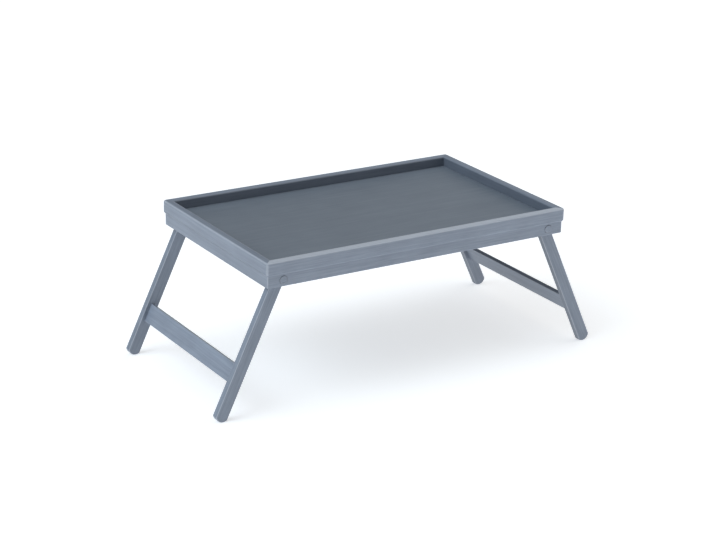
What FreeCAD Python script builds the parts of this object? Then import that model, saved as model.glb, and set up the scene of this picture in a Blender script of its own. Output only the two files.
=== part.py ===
import FreeCAD, Part
import math
import os
import Sketcher

# Folding bed tray table.
#
# Frame of the model: X runs along the length of the tray, Y from the front rail to the
# back rail, Z up. The origin is on the floor, under the middle of the tray, with both
# leg frames open.

DOCUMENT = FreeCAD.newDocument("bed_tray_table")

# Driving dimensions: name, value in millimetres (degrees for leg_splay), meaning.
DIMENSIONS = [
    ("tray_length", 500, "over the lips of the two end rails"),
    ("tray_width", 312, "over the lips of the two long rails"),
    ("table_height", 225, "floor to the top of the rim, legs open"),
    ("rail_height", 38, "full height of a rail"),
    ("rail_thickness", 10, "lower part of a rail, below the lip"),
    ("lip_overhang", 2.5, "how far the upper lip stands proud"),
    ("lip_height", 18, "upright face of the lip, above its bevel"),
    ("corner_round", 4.6, "upright radius of the lip at a tray corner"),
    ("rim_round", 3, "radius along the top edges of the rim"),
    ("lip_round", 1.4, "radius between the lip's face and its bevel"),
    ("foot_round", 1.5, "radius along a rail's lower outer edge"),
    ("edge_ease", 0.9, "radius along a rail's lower inner edge"),
    ("well_depth", 15, "top of the rim down to the floor panel"),
    ("panel_thickness", 3.6, "floor panel, and the groove that holds it"),
    ("groove_depth", 5, "groove for the floor panel"),
    ("panel_play", 0.5, "gap between panel edge and groove bottom"),
    ("field_gap", 0.3, "gap between the panel's field and the rails"),
    ("tongue_play", 0.2, "gap over the panel's edge in its groove"),
    ("nail_wing", 6, "wing of a corner nail along the rail"),
    ("nail_thickness", 0.5, "steel of a corner nail"),
    ("nail_height", 9, "depth a corner nail is driven"),
    ("nail_play", 0.03, "gap round a corner nail"),
    ("leg_width", 18.6, "leg, seen from the front"),
    ("leg_thickness", 10.6, "leg, front to back"),
    ("leg_splay", 25, "lean of an open leg from upright"),
    ("foot_radius", 11, "arc under the foot of a leg"),
    ("foot_corner", 2, "radius between that arc and the leg's sides"),
    ("leg_ease", 1.2, "radius along a leg's edges"),
    ("side_play", 0.2, "gap each side of a leg at its pivot"),
    ("stop_gap", 0.3, "open leg to the end rail it leans on"),
    ("pivot_height", 9.6, "pivot axis above the rail's lower edge"),
    ("stretcher_height", 27.6, "cross board, along the leg"),
    ("stretcher_thickness", 6.5, "cross board"),
    ("stretcher_distance", 148.5, "pivot axis to the board's middle"),
    ("stretcher_ease", 0.8, "radius along the board's edges"),
    ("tenon_height", 19, "tenon at each end of the board"),
    ("tenon_length", 5, "tenon at each end of the board"),
    ("tenon_play", 0.05, "gap round a tenon in its mortise"),
    ("bolt_radius", 2.5, "shank of a pivot bolt"),
    ("bolt_play", 0.05, "running fit of a leg on its bolt, radial"),
    ("bolt_end", 1.2, "bolt past its nut"),
    ("bolt_bevel", 0.5, "bevels of the bolt's head and end"),
    ("head_radius", 5, "head of a pivot bolt"),
    ("head_height", 2.5, "head of a pivot bolt"),
    ("socket_radius", 1.73, "hexagon socket in the head, to its corners"),
    ("socket_depth", 1.4, "hexagon socket in the head"),
    ("bore_radius", 6, "counterbore, and the wooden plug in it"),
    ("bore_depth", 6.5, "counterbore, from the rail's lower face"),
    ("bore_ease", 0.35, "radius round the mouth of the counterbore"),
    ("plug_thickness", 4.7, "wooden plug, its foot and its button"),
    ("plug_foot", 2, "foot of a plug, which fills the counterbore"),
    ("plug_gap", 0.5, "groove round the button of a plug"),
    ("plug_proud", 0.8, "button past the rail's face"),
    ("plug_ease", 0.7, "radius round the button's face"),
    ("spacer_radius", 6, "washer between rail and leg"),
    ("spacer_thickness", 0.8, "washer between rail and leg"),
    ("washer_radius", 5, "washer under a nut"),
    ("washer_thickness", 1, "washer under a nut"),
    ("washer_play", 0.15, "washer hole round the bolt, radial"),
    ("nut_radius", 4.62, "lock nut, to its corners"),
    ("nut_height", 4, "hexagon part of a lock nut"),
    ("collar_radius", 3.7, "round collar of a lock nut"),
    ("collar_height", 1.1, "round collar of a lock nut"),
]

VALUES = {name: value for name, value, meaning in DIMENSIONS}


class Length:
    """A length or an angle of the table: its formula over the sheet, and its value now."""

    def __init__(self, formula, value):
        self.formula = formula
        self.value = value

    def __add__(self, other):
        return combine(self, "+", other, self.value + as_length(other).value)

    def __sub__(self, other):
        return combine(self, "-", other, self.value - as_length(other).value)

    def __mul__(self, other):
        return combine(self, "*", other, self.value * as_length(other).value)

    def __truediv__(self, other):
        return combine(self, "/", other, self.value / as_length(other).value)

    def __neg__(self):
        return self * -1

    def __rmul__(self, other):
        return self * other


class Sheet:
    """Gives each driving dimension as a Length, by its name."""

    def __getattr__(self, name):
        return Length(f"dimensions.{name}", VALUES[name])


def as_length(number):
    """A plain number as a Length; a Length stays as it is."""
    return number if isinstance(number, Length) else Length(f"({round(number, 9)})", number)


def combine(first, sign, second, value):
    """The Length for an arithmetic sign between two others."""
    return Length(f"({first.formula} {sign} {as_length(second).formula})", value)


def sine(angle):
    """The sine of an angle of the sheet."""
    return Length(f"sin({angle.formula})", math.sin(math.radians(angle.value)))


def cosine(angle):
    """The cosine of an angle of the sheet."""
    return Length(f"cos({angle.formula})", math.cos(math.radians(angle.value)))


def square_root(length):
    """The square root of a length of the table."""
    return Length(f"sqrt({length.formula})", math.sqrt(length.value))


size = Sheet()

# Places that follow from the driving dimensions.
RIM = size.rail_thickness + size.lip_overhang
LIP_BOTTOM = size.lip_height + size.lip_overhang
RAIL_MIDDLE = size.lip_overhang + size.rail_thickness / 2
PIVOT_BELOW_RIM = size.rail_height - size.pivot_height
PIVOT_Z = size.table_height - PIVOT_BELOW_RIM
# An open leg leans on the lower inner edge of the end rail, stop_gap short of it.
LEAN_OFFSET = size.leg_width / 2 + size.stop_gap + size.pivot_height * sine(size.leg_splay)
PIVOT_X = size.tray_length / 2 - RIM - LEAN_OFFSET / cosine(size.leg_splay)
# The arc under a foot stands on the floor; its centre lies LEG_REACH from the pivot.
LEG_REACH = (PIVOT_Z - size.foot_radius) / cosine(size.leg_splay)
LEG_SIDE = LEG_REACH + square_root(
    size.foot_radius * size.foot_radius - size.leg_width * size.leg_width / 4)
# Faces along a pivot axis, as distances from the middle of the tray.
RAIL_OUTER = size.tray_width / 2 - size.lip_overhang
RAIL_INNER = size.tray_width / 2 - RIM
SPACER_SEAT = RAIL_INNER - size.spacer_thickness
LEG_OUTER = SPACER_SEAT - size.side_play
LEG_MIDDLE = LEG_OUTER - size.leg_thickness / 2
LEG_INNER = LEG_OUTER - size.leg_thickness
NUT_SEAT = LEG_INNER - size.side_play - size.washer_thickness
NUT_FACE = NUT_SEAT - size.nut_height
COLLAR_FACE = NUT_FACE - size.collar_height
HEAD_SEAT = RAIL_OUTER - size.bore_depth
BOLT_REACH = HEAD_SEAT - COLLAR_FACE + size.bolt_end

# Plain words for the sides of the tray: the sign of X and the sign of Y.
SIDES = {"left": -1, "right": 1}
ENDS = {"front": -1, "back": 1}

MITRE_COSINE = math.cos(math.radians(45))
HEXAGON_TURNS = [math.radians(60 * corner) for corner in range(6)]
FULL_TURN = 2 * math.pi
NEAR = 0.02
OVERCUT = 1


# --- Sheet, bodies and placements --------------------------------------------------------------


def make_sheet():
    """Writes the driving dimensions into a spreadsheet."""
    sheet = DOCUMENT.addObject("Spreadsheet::Sheet", "dimensions")
    for row, (name, value, meaning) in enumerate(DIMENSIONS, start=1):
        sheet.set(f"A{row}", name)
        sheet.set(f"B{row}", str(value))
        sheet.set(f"C{row}", meaning)
        sheet.setAlias(f"B{row}", name)
    DOCUMENT.recompute()


def bind(target, path, length):
    """Ties a property or a sketch constraint to the dimension sheet."""
    target.setExpression(path, as_length(length).formula)


def new_body(label):
    """An empty body whose label names the sub-part."""
    body = DOCUMENT.addObject("PartDesign::Body", label)
    body.Label = label
    return body


def place(body, position, axis=(0, 0, 1), angle=0):
    """Puts a body at a position and turns it about an axis by an angle in degrees."""
    start = FreeCAD.Rotation(FreeCAD.Vector(*axis), as_length(angle).value)
    body.Placement = FreeCAD.Placement(FreeCAD.Vector(), start)
    for letter, length in zip("xyz", position):
        bind(body, f"Placement.Base.{letter}", length)
    if isinstance(angle, Length):
        bind(body, "Placement.Rotation.Angle", angle)


# --- Sketches ----------------------------------------------------------------------------------


def origin_feature(body, role):
    """One of the body's own origin planes or axes."""
    return next(feature for feature in body.Origin.OriginFeatures if feature.Role == role)


def new_sketch(body, name, role, lift=0):
    """A sketch on one of the body's own origin planes, moved by lift along its normal."""
    sketch = body.newObject("Sketcher::SketchObject", f"{body.Label}_{name}")
    sketch.AttachmentSupport = [(origin_feature(body, role), "")]
    sketch.MapMode = "FlatFace"
    bind(sketch, "AttachmentOffset.Base.z", lift)
    return sketch


def point(horizontal, vertical):
    """The present place of a point of a sketch."""
    return FreeCAD.Vector(as_length(horizontal).value, as_length(vertical).value, 0)


def new_circle(centre, radius):
    """A circle in the sketch plane at its present place and size."""
    return Part.Circle(point(*centre), FreeCAD.Vector(0, 0, 1), radius.value)


def pin_point(sketch, geometry, end, horizontal, vertical):
    """Fixes one point of a sketch at two lengths, measured from the sketch's origin."""
    for kind, length in (("DistanceX", horizontal), ("DistanceY", vertical)):
        start = as_length(length).value
        index = sketch.addConstraint(Sketcher.Constraint(kind, -1, 1, geometry, end, start))
        bind(sketch, f"Constraints[{index}]", length)


def fix_radius(sketch, geometry, radius):
    """Fixes the radius of a circle or an arc."""
    index = sketch.addConstraint(Sketcher.Constraint("Radius", geometry, radius.value))
    bind(sketch, f"Constraints[{index}]", radius)


def join_ends(sketch, first, kinds):
    """Joins a run of lines and arcs end to start, all the way round, by one kind for each."""
    for number, kind in enumerate(kinds):
        following = first + (number + 1) % len(kinds)
        sketch.addConstraint(Sketcher.Constraint(kind, first + number, 2, following, 1))


def draw_outline(sketch, corners, arcs=None):
    """A closed outline through corners, listed anticlockwise as pairs of lengths.

    Its sides are straight, but arcs maps the number of a corner to the centre and radius
    of an arc from that corner to the next.
    """
    arcs = arcs or {}
    first = sketch.GeometryCount
    following = corners[1:] + corners[:1]
    for number, (start, end) in enumerate(zip(corners, following)):
        side = Part.LineSegment(point(*start), point(*end))
        if number in arcs:
            centre, radius = arcs[number]
            spokes = [point(*corner) - point(*centre) for corner in (start, end)]
            turns = [math.atan2(spoke.y, spoke.x) for spoke in spokes]
            side = Part.ArcOfCircle(new_circle(centre, radius), *turns)
        sketch.addGeometry(side, False)
    join_ends(sketch, first, ["Coincident"] * len(corners))
    for number, (centre, radius) in arcs.items():
        fix_radius(sketch, first + number, radius)
    for number, corner in enumerate(corners):
        pin_point(sketch, first + number, 1, *corner)


def draw_box(sketch, left, right, bottom, top):
    """A closed rectangle between four lengths."""
    draw_outline(sketch, [(left, bottom), (right, bottom), (right, top), (left, top)])


def draw_circle(sketch, centre, radius):
    """A circle with its centre and radius as lengths."""
    circle = sketch.addGeometry(new_circle(centre, radius), False)
    fix_radius(sketch, circle, radius)
    pin_point(sketch, circle, 3, *centre)


def draw_hexagon(sketch, centre, radius):
    """A regular hexagon with its centre and corner radius as lengths."""
    across, up = (as_length(length) for length in centre)
    draw_outline(sketch, [
        (across + radius * math.cos(turn), up + radius * math.sin(turn))
        for turn in HEXAGON_TURNS
    ])


# --- Features ----------------------------------------------------------------------------------


def add_feature(body, kind, sketch, length, symmetric=False):
    """A pad or a pocket of a sketch; one that changes the volume the wrong way is an error."""
    before = body.Shape.Volume if body.Tip else 0.0
    feature = body.newObject(f"PartDesign::{kind}", f"{sketch.Name}_{kind.lower()}")
    feature.Profile = sketch
    feature.SideType = "Symmetric" if symmetric else "One side"
    bind(feature, "Length", length)
    DOCUMENT.recompute()
    if body.Shape.isNull():
        raise RuntimeError(f"{feature.Name} makes no shape: {feature.State}")
    gained = body.Shape.Volume - before
    if gained * (1 if kind == "Pad" else -1) <= 0:
        raise RuntimeError(f"{feature.Name} changes the volume by {gained:.2f}")
    return feature


def add_edge_finish(body, kind, name, reach, wanted):
    """A fillet or chamfer of every edge for which wanted(its bounding box) is true."""
    base = body.Tip
    numbered = enumerate(base.Shape.Edges, start=1)
    edges = [f"Edge{number}" for number, edge in numbered if wanted(edge.BoundBox)]
    finish = body.newObject(f"PartDesign::{kind}", f"{body.Label}_{name}")
    finish.Base = (base, edges)
    bind(finish, "Radius" if kind == "Fillet" else "Size", reach)
    DOCUMENT.recompute()


def add_mirror(body, originals):
    """Repeats features on the other side of the body's XZ plane."""
    mirror = body.newObject("PartDesign::Mirrored", f"{body.Label}_mirror")
    mirror.Originals = originals
    mirror.MirrorPlane = (origin_feature(body, "XZ_Plane"), [""])
    body.Tip = mirror
    DOCUMENT.recompute()


def close(first, second):
    """True where a measured length agrees with a length of the table."""
    return abs(first - as_length(second).value) < NEAR


# --- Rails and floor ---------------------------------------------------------------------------
#
# A rail has a frame of its own: X along the rail, Y inwards from the face of its lip and
# Z up, with the top of the rim at zero. Four of them, mitred, make the tray's rim.


def draw_rail_plan(sketch, half, setback):
    """The rail seen from above, between its mitres, with the tray's rounded corners.

    half is half the length over the lips. The outer face lies setback behind the lip's
    face, and the corner arcs of both faces share a centre on the mitre.
    """
    radius = size.corner_round - setback
    flat = half - size.corner_round
    mitre = size.corner_round - radius * MITRE_COSINE
    draw_outline(sketch, [
        (-flat, setback),
        (flat, setback),
        (half - mitre, mitre),
        (half - RIM, RIM),
        (-(half - RIM), RIM),
        (-(half - mitre), mitre),
    ], arcs={
        1: ((flat, size.corner_round), radius),
        5: ((-flat, size.corner_round), radius),
    })


def outer_edge(level):
    """Picks the outer edges of a rail at one height, round both corners."""
    def wanted(box):
        return box.ZLength < NEAR and close(box.ZMax, level) and box.YMax < RIM.value / 2
    return wanted


def inner_edge(level):
    """Picks the inner edge of a rail at one height."""
    def wanted(box):
        return box.ZLength < NEAR and close(box.ZMax, level) and close(box.YMin, RIM)
    return wanted


def add_rail_blank(body, half):
    """The moulded rail: a proud lip over a bevel, a thinner lower part, eased edges."""
    lip = new_sketch(body, "lip_plan", "XY_Plane", -LIP_BOTTOM)
    draw_rail_plan(lip, half, as_length(0))
    add_feature(body, "Pad", lip, LIP_BOTTOM)
    add_edge_finish(body, "Chamfer", "bevel", size.lip_overhang, outer_edge(-LIP_BOTTOM))
    add_edge_finish(body, "Fillet", "lip_edge", size.lip_round, outer_edge(-size.lip_height))
    lower = new_sketch(body, "lower_plan", "XY_Plane", -size.rail_height)
    draw_rail_plan(lower, half, size.lip_overhang)
    add_feature(body, "Pad", lower, size.rail_height - LIP_BOTTOM)
    for name, radius, wanted in (
        ("rim_outside", size.rim_round, outer_edge(0)),
        ("rim_inside", size.rim_round, inner_edge(0)),
        ("foot_outside", size.foot_round, outer_edge(-size.rail_height)),
        ("foot_inside", size.edge_ease, inner_edge(-size.rail_height)),
    ):
        add_edge_finish(body, "Fillet", name, radius, wanted)


def cut_groove(body):
    """The groove along the inner face that holds the floor panel."""
    groove = new_sketch(body, "groove", "YZ_Plane")
    bottom = -(size.well_depth + size.panel_thickness)
    draw_box(groove, RIM - size.groove_depth, RIM + OVERCUT, bottom, -size.well_depth)
    add_feature(body, "Pocket", groove, size.tray_length, symmetric=True)


def cut_nail_slots(body, half):
    """The slots that one wing of each corner nail cuts into the rail, from below."""
    depth = size.nail_height + size.nail_play
    slots = new_sketch(body, "nail_slots", "XY_Plane", -size.rail_height - OVERCUT)
    slots.AttachmentOffset = FreeCAD.Placement(
        FreeCAD.Vector(), FreeCAD.Rotation(FreeCAD.Vector(1, 0, 0), 180))
    bind(slots, "AttachmentOffset.Base.z", -size.rail_height - OVERCUT)
    edge = size.nail_thickness / 2 + size.nail_play
    near = half - RAIL_MIDDLE + edge
    far = half - RAIL_MIDDLE - size.nail_wing - size.nail_play
    low = -(RAIL_MIDDLE + edge)
    high = -(RAIL_MIDDLE - edge)
    draw_box(slots, -near, -far, low, high)
    draw_box(slots, far, near, low, high)
    add_feature(body, "Pocket", slots, depth + OVERCUT)


def bore_pivots(body):
    """The two stepped pivot holes of a long rail: a counterbore, then a hole for the bolt."""
    shanks = new_sketch(body, "shank_holes", "XZ_Plane")
    bores = new_sketch(body, "counterbores", "XZ_Plane")
    for side in SIDES.values():
        centre = (side * PIVOT_X, -PIVOT_BELOW_RIM)
        draw_circle(shanks, centre, size.bolt_radius + size.bolt_play)
        draw_circle(bores, centre, size.bore_radius)
    add_feature(body, "Pocket", shanks, RIM + OVERCUT)
    add_feature(body, "Pocket", bores, size.lip_overhang + size.bore_depth)

    def wanted(box):
        flat = close(box.YMin, size.lip_overhang) and close(box.YMax, size.lip_overhang)
        return flat and close(box.XLength, 2 * size.bore_radius)
    add_edge_finish(body, "Fillet", "bore_mouths", size.bore_ease, wanted)


def make_long_rail(end):
    """Front or back rail, which carries the pivots of two legs."""
    rail = new_body(f"rail_{end}")
    half = size.tray_length / 2
    add_rail_blank(rail, half)
    cut_groove(rail)
    cut_nail_slots(rail, half)
    bore_pivots(rail)
    turn = 0 if end == "front" else 180
    place(rail, (0, ENDS[end] * size.tray_width / 2, size.table_height), angle=turn)


def make_end_rail(side):
    """Left or right rail; an open leg frame leans on its lower inner edge."""
    rail = new_body(f"rail_{side}")
    half = size.tray_width / 2
    add_rail_blank(rail, half)
    cut_groove(rail)
    cut_nail_slots(rail, half)
    position = (SIDES[side] * size.tray_length / 2, 0, size.table_height)
    place(rail, position, axis=(0, 0, SIDES[side]), angle=90)


def make_floor_panel():
    """The tray's floor, a thin board whose slightly thinner edges sit in the rails' grooves."""
    panel = new_body("floor_panel")
    for name, inset, thickness in (
        ("board", RIM - size.groove_depth + size.panel_play, size.panel_thickness - size.tongue_play),
        ("field", RIM + size.field_gap, size.panel_thickness),
    ):
        plan = new_sketch(panel, name, "XY_Plane")
        across = size.tray_length / 2 - inset
        deep = size.tray_width / 2 - inset
        draw_box(plan, -across, across, -deep, deep)
        add_feature(panel, "Pad", plan, thickness)
    place(panel, (0, 0, size.table_height - size.well_depth - size.panel_thickness))


def make_corner_nails():
    """Four V-shaped nails, each with one wing in either rail of a mitred corner."""
    nails = new_body("corner_nails")
    nails.AllowCompound = True
    plan = new_sketch(nails, "plan", "XY_Plane")
    half = size.nail_thickness / 2
    tip = -size.nail_wing
    outline = [(half, half), (tip, half), (tip, -half), (-half, -half), (-half, tip), (half, tip)]
    apex_x = size.tray_length / 2 - RAIL_MIDDLE
    apex_y = size.tray_width / 2 - RAIL_MIDDLE
    for side in SIDES.values():
        for end in ENDS.values():
            corners = [(side * (apex_x + along), end * (apex_y + over)) for along, over in outline]
            draw_outline(plan, corners[::side * end])
    add_feature(nails, "Pad", plan, size.nail_height)
    place(nails, (0, 0, size.table_height - size.rail_height))


# --- Leg frames --------------------------------------------------------------------------------
#
# A leg and its stretcher are drawn upright, with the pivot axis along Y through the origin,
# and then turned outwards by leg_splay.


def place_on_pivot(body, side, depth):
    """Hangs an upright piece on the pivot axis of one side and leans its foot outwards."""
    position = (SIDES[side] * PIVOT_X, depth, PIVOT_Z)
    place(body, position, axis=(0, -SIDES[side], 0), angle=size.leg_splay)


def draw_leg(sketch):
    """The strip of a leg: a full-round top about the pivot, and a flatter arc for a foot."""
    half = size.leg_width / 2
    first = sketch.GeometryCount
    top = new_circle((0, 0), half)
    foot = new_circle((0, -LEG_REACH), size.foot_radius)
    rise = math.acos(half.value / size.foot_radius.value)
    for side in (
        Part.ArcOfCircle(top, 0, FULL_TURN / 2),
        Part.LineSegment(point(-half, 0), point(-half, -LEG_SIDE)),
        Part.ArcOfCircle(foot, FULL_TURN / 2 + rise, FULL_TURN - rise),
        Part.LineSegment(point(half, -LEG_SIDE), point(half, 0)),
    ):
        sketch.addGeometry(side, False)
    join_ends(sketch, first, ["Tangent", "Coincident", "Coincident", "Tangent"])
    for arc, centre, radius in ((first, 0, half), (first + 2, -LEG_REACH, size.foot_radius)):
        sketch.addConstraint(Sketcher.Constraint("Vertical", arc + 1))
        fix_radius(sketch, arc, radius)
        pin_point(sketch, arc, 3, 0, centre)


def draw_stretcher_end(sketch, height, play):
    """The upright section of a stretcher or its tenon, with play all round."""
    across = size.stretcher_thickness / 2 + play
    up = height / 2 + play
    draw_box(sketch, -across, across, -size.stretcher_distance - up, -size.stretcher_distance + up)


def make_leg(end, side):
    """A slat leg with eased edges, its pivot hole and the mortise for the stretcher."""
    leg = new_body(f"leg_{end}_{side}")
    outline = new_sketch(leg, "outline", "XZ_Plane")
    draw_leg(outline)
    add_feature(leg, "Pad", outline, size.leg_thickness, symmetric=True)
    add_edge_finish(leg, "Fillet", "foot_corners", size.foot_corner, lambda box: (
        close(box.YLength, size.leg_thickness) and close(box.ZMin, -LEG_SIDE)))
    add_edge_finish(leg, "Fillet", "edges", size.leg_ease, lambda box: box.YLength < NEAR)
    hole = new_sketch(leg, "pivot_hole", "XZ_Plane")
    draw_circle(hole, (0, 0), size.bolt_radius + size.bolt_play)
    add_feature(leg, "Pocket", hole, size.leg_thickness + OVERCUT, symmetric=True)
    depth = size.tenon_length + size.tenon_play
    middle = ENDS[end] * (size.leg_thickness / 2 - depth / 2)
    mortise = new_sketch(leg, "mortise", "XZ_Plane", middle)
    draw_stretcher_end(mortise, size.tenon_height, size.tenon_play)
    add_feature(leg, "Pocket", mortise, depth, symmetric=True)
    place_on_pivot(leg, side, ENDS[end] * LEG_MIDDLE)


def make_stretcher(side):
    """The cross board between two legs, with a shouldered tenon at each end."""
    board = new_body(f"stretcher_{side}")
    section = new_sketch(board, "board", "XZ_Plane")
    draw_stretcher_end(section, size.stretcher_height, as_length(0))
    add_feature(board, "Pad", section, 2 * LEG_INNER, symmetric=True)
    add_edge_finish(board, "Fillet", "edges", size.stretcher_ease, lambda box: (
        close(box.YLength, 2 * LEG_INNER)))
    tenons = new_sketch(board, "tenons", "XZ_Plane")
    draw_stretcher_end(tenons, size.tenon_height, as_length(0))
    add_feature(board, "Pad", tenons, 2 * (LEG_INNER + size.tenon_length), symmetric=True)
    place_on_pivot(board, side, 0)


# --- Pivots ------------------------------------------------------------------------------------


def place_in_bore(body, end, side, seat):
    """Turns a piece drawn along Z outwards, and sets its base at a distance from the middle."""
    position = (SIDES[side] * PIVOT_X, ENDS[end] * seat, PIVOT_Z)
    place(body, position, axis=(-ENDS[end], 0, 0), angle=90)


def make_bolt(end, side):
    """A pivot bolt: the axle of one leg, its head sunk in the long rail."""
    bolt = new_body(f"pivot_bolt_{end}_{side}")
    profile = new_sketch(bolt, "profile", "XZ_Plane")
    draw_outline(profile, [
        (0, -BOLT_REACH),
        (size.bolt_radius - size.bolt_bevel, -BOLT_REACH),
        (size.bolt_radius, size.bolt_bevel - BOLT_REACH),
        (size.bolt_radius, 0),
        (size.head_radius, 0),
        (size.head_radius, size.head_height - size.bolt_bevel),
        (size.head_radius - size.bolt_bevel, size.head_height),
        (0, size.head_height),
    ])
    turned = bolt.newObject("PartDesign::Revolution", f"{bolt.Label}_turned")
    turned.Profile = profile
    turned.ReferenceAxis = (profile, ["V_Axis"])
    DOCUMENT.recompute()
    socket = new_sketch(bolt, "socket", "XY_Plane", size.head_height)
    draw_hexagon(socket, (0, 0), size.socket_radius)
    add_feature(bolt, "Pocket", socket, size.socket_depth)
    place_in_bore(bolt, end, side, HEAD_SEAT)


def make_plug(end, side):
    """The wooden plug over a bolt head: a foot that fills the bore, and a proud button."""
    plug = new_body(f"pivot_plug_{end}_{side}")
    for name, radius, height in (
        ("foot", size.bore_radius, size.plug_foot),
        ("button", size.bore_radius - size.plug_gap, size.plug_thickness),
    ):
        disc = new_sketch(plug, name, "XY_Plane")
        draw_circle(disc, (0, 0), radius)
        add_feature(plug, "Pad", disc, height)
    add_edge_finish(plug, "Fillet", "edge", size.plug_ease, lambda box: (
        close(box.ZMin, size.plug_thickness)))
    place_in_bore(plug, end, side, RAIL_OUTER + size.plug_proud - size.plug_thickness)


def add_front_pair(body, name, near_face, thickness, radius, hole, draw=draw_circle):
    """A pair of discs or hexagons with bolt holes, on the two front pivots.

    near_face is the distance of the face nearer the middle of the tray.
    """
    plan = new_sketch(body, name, "XZ_Plane", near_face)
    for side in SIDES.values():
        centre = (side * PIVOT_X, PIVOT_Z)
        draw(plan, centre, radius)
        draw_circle(plan, centre, hole)
    return add_feature(body, "Pad", plan, thickness)


def make_washers(label, near_face, thickness, radius):
    """The same washer on all four pivots."""
    washers = new_body(label)
    washers.AllowCompound = True
    hole = size.bolt_radius + size.washer_play
    add_mirror(washers, [add_front_pair(washers, "rings", near_face, thickness, radius, hole)])


def make_lock_nuts():
    """The lock nut of each pivot: a hexagon with a round collar that holds the bolt."""
    nuts = new_body("lock_nuts")
    nuts.AllowCompound = True
    hole = size.bolt_radius
    hexagons = add_front_pair(
        nuts, "hexagons", NUT_FACE, size.nut_height, size.nut_radius, hole, draw_hexagon)
    collars = add_front_pair(
        nuts, "collars", COLLAR_FACE, size.collar_height, size.collar_radius, hole)
    add_mirror(nuts, [hexagons, collars])


# --- The whole table ---------------------------------------------------------------------------


def make_table():
    """Makes every sub-part."""
    make_sheet()
    for end in ENDS:
        make_long_rail(end)
    for side in SIDES:
        make_end_rail(side)
    make_floor_panel()
    make_corner_nails()
    for side in SIDES:
        for end in ENDS:
            make_leg(end, side)
            make_bolt(end, side)
            make_plug(end, side)
        make_stretcher(side)
    make_washers("spacer_washers", SPACER_SEAT, size.spacer_thickness, size.spacer_radius)
    make_washers("nut_washers", NUT_SEAT, size.washer_thickness, size.washer_radius)
    make_lock_nuts()
    DOCUMENT.recompute()


def check_table():
    """Stops if any object failed or any sub-part's shape isn't a valid solid."""
    for item in DOCUMENT.Objects:
        if "Invalid" in item.State or "Error" in item.State:
            raise RuntimeError(f"{item.Name} failed: {item.State}")
    for body in DOCUMENT.findObjects("PartDesign::Body"):
        if body.Shape.isNull() or not body.Shape.isValid() or not body.Shape.Solids:
            raise RuntimeError(f"{body.Label} has no valid shape")


def write_parts():
    """Writes one file for each sub-part and prints its place."""
    os.makedirs("parts", exist_ok=True)
    for body in DOCUMENT.findObjects("PartDesign::Body"):
        body.Shape.exportStep(f"parts/{body.Label}.step")
        box = body.Shape.BoundBox
        low = f"{box.XMin:8.2f} {box.YMin:8.2f} {box.ZMin:8.2f}"
        high = f"{box.XMax:8.2f} {box.YMax:8.2f} {box.ZMax:8.2f}"
        print(f"{body.Label:24s} {len(body.Shape.Solids)} solid(s), from {low} to {high}")


make_table()
check_table()
write_parts()
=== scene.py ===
# %% [markdown]
# # A folding bed tray table, dressed in Blender
#
# The shapes of this table come from its engineering model: mitred rails, a thin floor, two
# leg frames and their pivots. Blender could model them once more, but they are already right,
# so its work here is the finish: blue-grey paint that lets the wood grain show, zinc-plated
# fasteners, soft daylight and the photograph's point of view. Places and sizes are in metres,
# apart from the camera's lens and sensor, which Blender takes in millimetres. X runs along the
# tray, Y from the front rail to the back rail, and Z up from the floor.

# %% Load the frame
import math

import bpy
import numpy as np
from mathutils import Matrix, Vector

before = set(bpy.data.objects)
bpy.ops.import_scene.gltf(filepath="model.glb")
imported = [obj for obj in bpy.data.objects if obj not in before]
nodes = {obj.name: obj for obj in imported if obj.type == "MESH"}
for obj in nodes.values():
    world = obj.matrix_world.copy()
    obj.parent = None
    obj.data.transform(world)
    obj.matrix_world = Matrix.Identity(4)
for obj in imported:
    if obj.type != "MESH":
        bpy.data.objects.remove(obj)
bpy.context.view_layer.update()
scene = bpy.context.scene

# %% [markdown]
# ## The point of view
#
# The picture was taken from the front left, looking down by about 20 degrees, with a long
# lens. A camera could be moved by hand until the two views look alike, but edges tell more:
# the numbers below were found by matching the model's straight edges to the same edges in the
# picture, and that also gave a small roll. A camera looks along its own -Z, so its rotation is
# built from three directions: right, up and backwards.

# %% Camera
IMAGE_WIDTH = 716
FOCAL_PIXELS = 1970.7
SENSOR_WIDTH = 36.0
CAMERA_REACH = 50.0
CAMERA_PLACE = Vector((-1.4631, -2.3163, 1.1290))
YAW, PITCH, ROLL = (math.radians(angle) for angle in (32.140, -20.184, 1.300))


def looking(yaw, pitch, roll):
    """Rotation of a camera turned right by yaw, tipped up by pitch and rolled by roll."""
    flat = math.cos(pitch)
    forward = Vector((math.sin(yaw) * flat, math.cos(yaw) * flat, math.sin(pitch)))
    level = Vector((math.cos(yaw), -math.sin(yaw), 0.0))
    upright = level.cross(forward)
    right = level * math.cos(roll) + upright * math.sin(roll)
    up = upright * math.cos(roll) - level * math.sin(roll)
    return Matrix((right, up, -forward)).transposed()


camera = bpy.data.objects.new("camera", bpy.data.cameras.new("camera"))
scene.collection.objects.link(camera)
camera.data.sensor_width = SENSOR_WIDTH
camera.data.lens = FOCAL_PIXELS * SENSOR_WIDTH / IMAGE_WIDTH
camera.data.clip_end = CAMERA_REACH
camera.matrix_world = Matrix.Translation(CAMERA_PLACE) @ looking(YAW, PITCH, ROLL).to_4x4()
scene.camera = camera
print(f"lens {camera.data.lens:.1f} mm, {CAMERA_PLACE.length:.2f} m from the floor under the tray")

# %% [markdown]
# ## Building materials from nodes
#
# A material is a small network of nodes. It could be wired by hand in Blender's node editor.
# Written as code it is the same on every run, and these helpers, which add a node and fill its
# inputs, let each finish below read like a recipe. A value that is the same all over a surface
# is set on the shader's own socket.

# %% Node helpers


def new_material(name):
    """An empty material with its tree and its shader."""
    material = bpy.data.materials.new(name)
    material.use_nodes = True
    tree = material.node_tree
    return material, tree, tree.nodes["Principled BSDF"]


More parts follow.
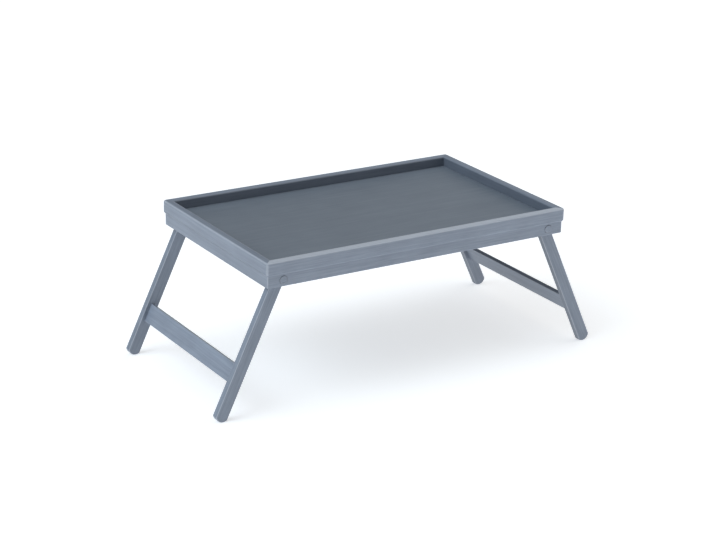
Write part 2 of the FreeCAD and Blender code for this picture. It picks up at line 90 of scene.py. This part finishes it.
def coordinates(tree, kind):
    """Where a point is on its object, which way it faces, or a direction in the sky."""
    return tree.nodes.new("ShaderNodeTexCoord").outputs[kind]


def fill(tree, socket, value):
    """Joins an input to the output of another node, or gives it a plain value."""
    if isinstance(value, bpy.types.NodeSocket):
        tree.links.new(value, socket)
    else:
        socket.default_value = value


def put(tree, kind, settings=None, **inputs):
    """Adds a node. Inputs are named as on the node, with _ for a space, or in0, in1 by number."""
    node = tree.nodes.new(kind)
    for key, value in (settings or {}).items():
        setattr(node, key, value)
    for key, value in inputs.items():
        number = key.removeprefix("in")
        socket = int(number) if number.isdigit() else key.replace("_", " ")
        fill(tree, node.inputs[socket], value)
    return node


print("helpers that add a node and fill its inputs")

# %% Arithmetic helpers


def calculate(tree, operation, first, second=0.0, third=0.0, clamp=False):
    """One step of arithmetic between sockets or numbers."""
    settings = {"operation": operation, "use_clamp": clamp}
    return put(tree, "ShaderNodeMath", settings, in0=first, in1=second, in2=third).outputs[0]


def calculate_vector(tree, operation, **inputs):
    """One step of arithmetic with directions or colours. Its outputs are Vector and Value."""
    return put(tree, "ShaderNodeVectorMath", {"operation": operation}, **inputs).outputs


def blend_colours(tree, amount, first, second):
    """The colour that lies between two others by an amount from 0 to 1."""
    mixer = put(tree, "ShaderNodeMix", {"data_type": "RGBA"})
    for name, value in (("Factor", amount), ("A", first), ("B", second)):
        socket = next(one for one in mixer.inputs if one.name == name and one.enabled)
        fill(tree, socket, value)
    return next(one for one in mixer.outputs if one.enabled)


print("helpers that work with numbers, directions and colours")

# %% [markdown]
# ## Wood grain
#
# The table is wood under a thin paint, and its grain still shows: fibres under a millimetre
# apart, streaks a few millimetres wide and several centimetres long, broader bands where the
# growth rings surface, and soft blotches. An image of wood would repeat and would need every
# board laid out flat. Noise that is squeezed across the board and stretched along it makes all
# of these at any size. Grain follows the board, so each board turns the pattern to its own
# length and shifts it, because no two boards are cut from the same place.

# %% Grain
STREAKS = {"length": 0.075, "width": 0.0024, "detail": 3.0}
FIBRES = {"length": 0.022, "width": 0.0007, "detail": 3.0}
BANDS = {"length": 0.260, "width": 0.0120, "detail": 3.0, "waver": 0.4}
BLOTCHES = {"length": 0.050, "width": 0.050, "detail": 2.0}
FINE_SHARE = 0.55
NOISE_MIDDLE = 0.5


def along_board(tree, turn, shift):
    """Coordinates turned so that X runs along the board, and shifted to a part of their own."""
    place = coordinates(tree, "Object")
    turned = put(tree, "ShaderNodeMapping", {"vector_type": "TEXTURE"}, Vector=place,
                 Rotation=turn, Location=shift)
    return turned.outputs[0]


def stretched_noise(tree, board, length, width, detail, waver=0.0):
    """Noise from 0 to 1 whose patches are length long along the board and width wide."""
    squeezed = put(tree, "ShaderNodeMapping", Vector=board, Scale=(1 / length, 1 / width, 1 / width))
    patches = put(tree, "ShaderNodeTexNoise", Vector=squeezed.outputs[0], Scale=1.0, Detail=detail,
                  Roughness=FINE_SHARE, Distortion=waver)
    return patches.outputs[0]


def weighted(tree, layers):
    """The middle plus the sum of each layer's distance from the middle times its weight."""
    total = NOISE_MIDDLE
    for layer, weight in layers:
        distance = calculate(tree, "SUBTRACT", layer, NOISE_MIDDLE)
        total = calculate(tree, "MULTIPLY_ADD", distance, weight, total)
    return total


for title, layer in (("streaks", STREAKS), ("fibres", FIBRES), ("bands", BANDS)):
    print(title, layer["width"] * 1000, "mm wide and", layer["length"] * 1000, "mm long")

# %% [markdown]
# ## Rubbed and highlighted edges
#
# On a rounded edge the paint is thin and rubbed, so it is a little lighter there, and the same
# lighter colour is also a painted highlight where the rounded edge catches the light. Such
# marks could be painted on a map, or found with Blender's Bevel node, which slows the render.
# Here they come from the way that the surface faces. Between a board's face and its side the
# surface turns, and how far it has turned tells where the rounded edge is.

# %% Edges
PEAK = 4.0


def squared_facing(tree, across, one_side=False):
    """Square of how far the surface faces a direction, or with one_side 0 if it faces away."""
    facing = calculate_vector(tree, "DOT_PRODUCT", in0=coordinates(tree, "Normal"), in1=across)["Value"]
    if one_side:
        facing = calculate(tree, "MAXIMUM", facing, 0.0)
    return calculate(tree, "MULTIPLY", facing, facing)


def rounded_edge(tree, across, one_side=False):
    """1 in the middle of a rounded edge, 0 on the flat faces beside it: PEAK s (1 - s).

    s is the squared facing along the direction across, and PEAK s (1 - s) is 1 where s is one
    half. With one_side, only edges that face that way count, and otherwise the opposite edges
    count as well.
    """
    square = squared_facing(tree, across, one_side)
    rest = calculate(tree, "SUBTRACT", 1.0, square)
    return calculate(tree, "MULTIPLY", calculate(tree, "MULTIPLY", square, rest), PEAK, clamp=True)


# The edge amount sets rubbed paint and painted highlight alike.
for s in (0.0, 0.5, 1.0):
    print("squared facing", s, "gives wear", PEAK * s * (1 - s))

# %% [markdown]
# ## Satin paint
#
# The paint is blue-grey, with a satin gloss that changes a little from fibre to fibre. One
# even colour would look like plastic, so the grain sets the colour between a dark and a light
# tone. The fibres and streaks also lift the surface a few hundredths of a millimetre, which is
# what catches the light. The thin floor panel has the same paint, a little darker.

# %% Paint recipe
PAINT_DARK = (0.172, 0.201, 0.253, 1.0)
PAINT_LIGHT = (0.299, 0.343, 0.420, 1.0)
PANEL_DARK = (0.154, 0.180, 0.216, 1.0)
PANEL_LIGHT = (0.220, 0.252, 0.294, 1.0)
# The lighter colour of rubbed paint, which also serves as a painted highlight on rounded edges.
RUBBED_AND_HIGHLIGHT_PAINT = (0.580, 0.610, 0.665, 1.0)
# Painted shade: the darker colour, and how much of it, on faces that stand in deeper shade.
PAINTED_SHADE_COLOUR = (0.080, 0.092, 0.116, 1.0)
PAINTED_SHADE_SHARE = 0.50
STREAK_TONE, FIBRE_TONE, BAND_TONE, BLOTCH_TONE = 0.95, 0.65, 0.45, 0.50
RELIEF_HEIGHT = 0.00006
RELIEF_SHARE, RELIEF_STRENGTH = 0.6, 0.8
NOISE_LOW, NOISE_HIGH = 0.3, 0.7
PAINT_SMOOTH, PAINT_ROUGH = 0.36, 0.50
PAINT_GLOSS = 0.45


def uneven_roughness(tree, layer, smooth, rough):
    """Roughness that goes from smooth to rough as the noise of a layer goes from low to high."""
    spread = put(tree, "ShaderNodeMapRange", Value=layer, in1=NOISE_LOW, in2=NOISE_HIGH,
                 in3=smooth, in4=rough)
    return spread.outputs[0]


def shaded(colour, shade):
    """A colour made lighter or darker by a factor."""
    return (*(channel * shade for channel in colour[:3]), 1.0)


def painted_wood(name, turn, shift, rub_and_highlight, tones, shade, painted_shade_side):
    """Satin paint over grain, lightened by rubbed paint and painted highlight, and darkened by painted
    shade on the given side.
    """
    material, tree, shader = new_material(name)
    board = along_board(tree, turn, shift)
    streaks, fibres, bands, blotches = (
        stretched_noise(tree, board, **layer) for layer in (STREAKS, FIBRES, BANDS, BLOTCHES))
    tone = weighted(tree, [(streaks, STREAK_TONE), (fibres, FIBRE_TONE), (bands, BAND_TONE),
                           (blotches, BLOTCH_TONE)])
    paint = blend_colours(tree, tone, *(shaded(colour, shade) for colour in tones))
    # Painted shade, darkest where the surface faces the given side.
    if painted_shade_side:
        facing = squared_facing(tree, painted_shade_side, one_side=True)
        paint = blend_colours(tree, calculate(tree, "MULTIPLY", facing, PAINTED_SHADE_SHARE), paint, PAINTED_SHADE_COLOUR)
    raised = weighted(tree, [(fibres, RELIEF_SHARE), (streaks, RELIEF_SHARE)])
    relief = put(tree, "ShaderNodeBump", Height=raised, Distance=RELIEF_HEIGHT, Strength=RELIEF_STRENGTH)
    satin = uneven_roughness(tree, fibres, PAINT_SMOOTH, PAINT_ROUGH)
    # Rubbed paint and painted highlight lighten the edges.
    fill(tree, shader.inputs["Base Color"], blend_colours(tree, rub_and_highlight(tree), paint, RUBBED_AND_HIGHLIGHT_PAINT))
    fill(tree, shader.inputs["Roughness"], satin)
    fill(tree, shader.inputs["Normal"], relief.outputs[0])
    fill(tree, shader.inputs["Specular IOR Level"], PAINT_GLOSS)
    return material


print("paint from", PAINT_DARK[:3], "to", PAINT_LIGHT[:3])

# %% [markdown]
# ## Boards and their grain
#
# A board is cut along the grain, so the grain runs along the long rails, the short rails and
# the stretchers, and down the splayed legs. The panel's grain runs along the tray. The list
# below turns the pattern for each board. Its order also says where in the timber each board
# was cut from, so it stays as it is.

# %% Grain directions
QUARTER = math.pi / 2
SPLAY = math.radians(25.0)
ALONG_X = (0.0, 0.0, 0.0)
ALONG_Y = (0.0, 0.0, QUARTER)
ALONG_LEFT_LEG = (0.0, SPLAY - QUARTER, 0.0)
ALONG_RIGHT_LEG = (0.0, -SPLAY - QUARTER, 0.0)
TIMBER_STEP = (0.37, 0.011, 0.007)
PLUGS = sorted(name for name in nodes if name.startswith("pivot_plug"))
GRAIN = {
    "rail_front": ALONG_X,
    "rail_back": ALONG_X,
    "rail_left": ALONG_Y,
    "rail_right": ALONG_Y,
    "leg_front_left": ALONG_LEFT_LEG,
    "leg_back_left": ALONG_LEFT_LEG,
    "leg_front_right": ALONG_RIGHT_LEG,
    "leg_back_right": ALONG_RIGHT_LEG,
    "stretcher_left": ALONG_Y,
    "stretcher_right": ALONG_Y,
    "floor_panel": ALONG_X,
    **{name: ALONG_X for name in PLUGS},
}


def own_place(number):
    """Where in the timber board number was cut from: its number times one step."""
    return tuple(step * number for step in TIMBER_STEP)


print(len(GRAIN), "pieces of wood, with plugs", *PLUGS)

# %% [markdown]
# ## Tones matched to the picture
#
# The tones below are matched to the picture and say nothing sure about the real paint. Most
# boards have a shade of their own, so that their faces come out as light as in the picture;
# that shade is partly the board's own tone and partly painted light and shade. The inner faces
# of the rails and legs and the upper edges of the stretchers are darkened with painted shade,
# a darker colour that stands in for shade deeper than this soft sky gives.

# %% Shades
RIGHT, BACK, UP = (1, 0, 0), (0, 1, 0), (0, 0, 1)
LEFT, FRONT = (-1, 0, 0), (0, -1, 0)
# The side of each board that is darkened with painted shade.
PAINTED_SHADE_SIDE = {
    "rail_front": BACK,
    "rail_back": FRONT,
    "rail_left": RIGHT,
    "rail_right": LEFT,
    "leg_front_left": RIGHT,
    "leg_back_left": RIGHT,
    "leg_front_right": LEFT,
    "leg_back_right": LEFT,
    "stretcher_left": (math.sin(SPLAY), 0, math.cos(SPLAY)),
    "stretcher_right": (-math.sin(SPLAY), 0, math.cos(SPLAY)),
}
# Each board's tone factor, partly its own tone and partly painted light and shade.
BOARD_TONE_AND_PAINTED_SHADE = {
    "rail_front": 1.07,
    "rail_left": 0.95,
    "rail_right": 0.95,
    "leg_back_left": 0.90,
    "leg_front_left": 0.97,
    "leg_front_right": 0.97,
    "stretcher_left": 1.08,
    "stretcher_right": 0.92,
}
print("shades from", min(BOARD_TONE_AND_PAINTED_SHADE.values()), "to", max(BOARD_TONE_AND_PAINTED_SHADE.values()))

# %% [markdown]
# ## Rubbed paint and painted highlights on each board
#
# Legs and plugs are lighter on the edges beside their front and back faces, stretchers beside
# their two broad faces, and the panel beside its top. A rail is lighter along its two rim edges
# and on its corners. These lighter edges are partly rubbed paint and partly painted highlight.
# In the picture these lines are clear on the front and left rails and weak on the others. The
# top of the front rim has a painted sheen all over, because it looks lighter there than the
# other rims.

# %% Wear
# How much rubbed paint and painted highlight each kind of edge gets.
EDGE_RUB_AND_HIGHLIGHT_AMOUNT = 0.60
RIM_EDGE_RUB_AND_HIGHLIGHT = {"rail_front": 0.80, "rail_back": 0.15, "rail_left": 0.65, "rail_right": 0.15}
# Painted sheen over the whole top of the front rim.
FRONT_RIM_PAINTED_SHEEN = 0.80
CORNER_RUB_AND_HIGHLIGHT = 0.42
STRETCHER_FACE = {
    "stretcher_left": (math.cos(SPLAY), 0.0, -math.sin(SPLAY)),
    "stretcher_right": (math.cos(SPLAY), 0.0, math.sin(SPLAY)),
}


def edge_rub_and_highlight(across):
    """Rubbed paint and painted highlight on the rounded edges beside the two faces that look along the
    direction across.
    """
    return lambda tree: calculate(tree, "MULTIPLY", rounded_edge(tree, across), EDGE_RUB_AND_HIGHLIGHT_AMOUNT)


def rail_rub_and_highlight(name):
    """Rubbed paint and painted highlight on a rail: its two rim edges, its corners, and in front
    a painted sheen on the whole top of the rim.

    A corner faces X and Y alike, so its amount is PEAK x y, with the squared facings x and y.
    """

    def rub_and_highlight(tree):
        rim = calculate(tree, "MULTIPLY", rounded_edge(tree, UP, one_side=True), RIM_EDGE_RUB_AND_HIGHLIGHT[name])
        corner = calculate(tree, "MULTIPLY", squared_facing(tree, RIGHT), squared_facing(tree, BACK))
        lightened = calculate(tree, "MAXIMUM", rim, calculate(tree, "MULTIPLY", corner, PEAK * CORNER_RUB_AND_HIGHLIGHT))
        # Painted sheen over the whole top of the front rim.
        if name == "rail_front":
            top = calculate(tree, "MULTIPLY", squared_facing(tree, UP, one_side=True), FRONT_RIM_PAINTED_SHEEN)
            lightened = calculate(tree, "MAXIMUM", lightened, top)
        return lightened

    return rub_and_highlight


def rub_and_highlight_of(name):
    """The rubbed paint and painted highlight that suit a board, as a function that adds its nodes to a
    tree.
    """
    if name in RIM_EDGE_RUB_AND_HIGHLIGHT:
        return rail_rub_and_highlight(name)
    if name == "floor_panel":
        return edge_rub_and_highlight(UP)
    return edge_rub_and_highlight(STRETCHER_FACE.get(name, BACK))


# The amounts of rubbed paint and painted highlight.
print("edges rubbed by", EDGE_RUB_AND_HIGHLIGHT_AMOUNT, "and rims by", RIM_EDGE_RUB_AND_HIGHLIGHT)

# %% Paint every board


def finish_node(name, material):
    """Gives a piece of the engineering model one material all over."""
    mesh = nodes[name].data
    mesh.materials.clear()
    mesh.materials.append(material)


for number, (name, turn) in enumerate(GRAIN.items()):
    tones = (PANEL_DARK, PANEL_LIGHT) if name == "floor_panel" else (PAINT_DARK, PAINT_LIGHT)
    paint = painted_wood(f"paint_{name}", turn, own_place(number), rub_and_highlight_of(name), tones,
                         BOARD_TONE_AND_PAINTED_SHADE.get(name, 1.0), PAINTED_SHADE_SIDE.get(name))
    finish_node(name, paint)
print(len(GRAIN), "pieces painted")

# %% [markdown]
# ## Zinc-plated steel
#
# Bolts, washers, nuts and corner nails are small steel pieces with a thin zinc plating: grey,
# metallic, half dull, and a little uneven. A perfect mirror would look like chrome, so the
# colour and the roughness drift together over patches of one or two millimetres.

# %% Steel
ZINC_DARK = (0.42, 0.42, 0.41, 1.0)
ZINC_LIGHT = (0.62, 0.62, 0.60, 1.0)
ZINC_PATCHES = {"length": 0.0015, "width": 0.0015, "detail": 4.0}
ZINC_SMOOTH, ZINC_ROUGH = 0.28, 0.45


def zinc_steel():
    """Metal whose colour and roughness drift over small patches."""
    material, tree, shader = new_material("zinc_steel")
    patches = stretched_noise(tree, coordinates(tree, "Object"), **ZINC_PATCHES)
    dullness = uneven_roughness(tree, patches, ZINC_SMOOTH, ZINC_ROUGH)
    fill(tree, shader.inputs["Base Color"], blend_colours(tree, patches, ZINC_DARK, ZINC_LIGHT))
    fill(tree, shader.inputs["Roughness"], dullness)
    fill(tree, shader.inputs["Metallic"], 1.0)
    return material


steel = zinc_steel()
fasteners = [name for name in nodes if name not in GRAIN]
for name in fasteners:
    finish_node(name, steel)
print("steel on", fasteners)

# %% [markdown]
# ## Floor
#
# The picture's floor and background are almost pure white, and the shadow under the table is
# weak. A plain white floor gives too dark a shadow. So the floor here also glows a little, as
# a light table does. Its glow lightens the shadow and the outer faces, and doesn't reach the
# faces inside the rim, which stay darker.

# %% Floor
FLOOR_REACH = 9.0
FLOOR_PAINT = {
    "Base Color": (0.90, 0.90, 0.90, 1.0),
    "Roughness": 0.9,
    "Specular IOR Level": 0.1,
    "Emission Color": (1.0, 1.0, 1.0, 1.0),
    "Emission Strength": 0.49,
}

floor_mesh = bpy.data.meshes.new("floor")
corners = np.array([(-1, -1, 0), (1, -1, 0), (1, 1, 0), (-1, 1, 0)]) * FLOOR_REACH
floor_mesh.from_pydata(corners.tolist(), [], [(0, 1, 2, 3)])
floor = bpy.data.objects.new("floor", floor_mesh)
scene.collection.objects.link(floor)
floor_material, floor_tree, floor_shader = new_material("floor")
for socket, value in FLOOR_PAINT.items():
    fill(floor_tree, floor_shader.inputs[socket], value)
floor_mesh.materials.append(floor_material)
print("floor", 2 * FLOOR_REACH, "m across, glowing at", FLOOR_PAINT["Emission Strength"])

# %% [markdown]
# ## Light
#
# The light is soft, as from large diffusers: a strong, slightly blue one at the upper left, as
# from a window, a wide white one on the right, a weak one above, and a white backdrop that
# stands all round and fades upwards. Area lamps could do this, but each lights the floor more
# where it is near. One smooth sky stands for all of them. Its brightness depends only on the
# direction, so the floor is even wherever it isn't shaded.

# %% Diffusers
WIDE, NARROW = 3.0, 12.0
WHITE = (1.00, 1.00, 1.00)
WINDOW_BLUE = (0.88, 1.00, 1.10)
BACKDROP_FADE = 8.0
# Each diffuser has a direction, about 1 long, and a fade, a strength and a colour.
DIFFUSERS = {
    "upper left": ((-0.71, 0.0, 0.71), NARROW, 3.50, WINDOW_BLUE),
    "right": ((0.94, 0.0, 0.33), WIDE, 1.15, WHITE),
    "above": ((0.0, 0.0, 1.0), NARROW, 0.90, WHITE),
}


def diffuser(tree, direction, towards, fade, strength, colour):
    """Light from one side: colour times strength times the facing to the power fade.

    The facing is the cosine of the angle between the direction and towards, and at least 0.
    """
    cosine = calculate_vector(tree, "DOT_PRODUCT", in0=direction, in1=towards)["Value"]
    facing = calculate(tree, "MAXIMUM", cosine, 0.0)
    amount = calculate(tree, "MULTIPLY", calculate(tree, "POWER", facing, fade), strength)
    return calculate_vector(tree, "SCALE", in0=colour, Scale=amount)["Vector"]


def backdrop(tree, direction):
    """White light all round: (1 - h) to the power BACKDROP_FADE.

    h is how far the direction points above or below the horizon, from 0 to 1.
    """
    height = put(tree, "ShaderNodeSeparateXYZ", Vector=direction).outputs["Z"]
    low = calculate(tree, "SUBTRACT", 1.0, calculate(tree, "ABSOLUTE", height), clamp=True)
    amount = calculate(tree, "POWER", low, BACKDROP_FADE)
    return calculate_vector(tree, "SCALE", in0=WHITE, Scale=amount)["Vector"]


print(len(DIFFUSERS), "diffusers and a backdrop")

# %% Sky
studio = bpy.data.worlds.new("studio")
scene.world = studio
studio.use_nodes = True
sky = studio.node_tree
direction = coordinates(sky, "Generated")
light = backdrop(sky, direction)
for recipe in DIFFUSERS.values():
    more = diffuser(sky, direction, *recipe)
    light = calculate_vector(sky, "ADD", in0=more, in1=light)["Vector"]
fill(sky, sky.nodes["Background"].inputs["Color"], light)
scene.view_settings.view_transform = "Standard"
print("light from", ", ".join(DIFFUSERS), "and the backdrop")
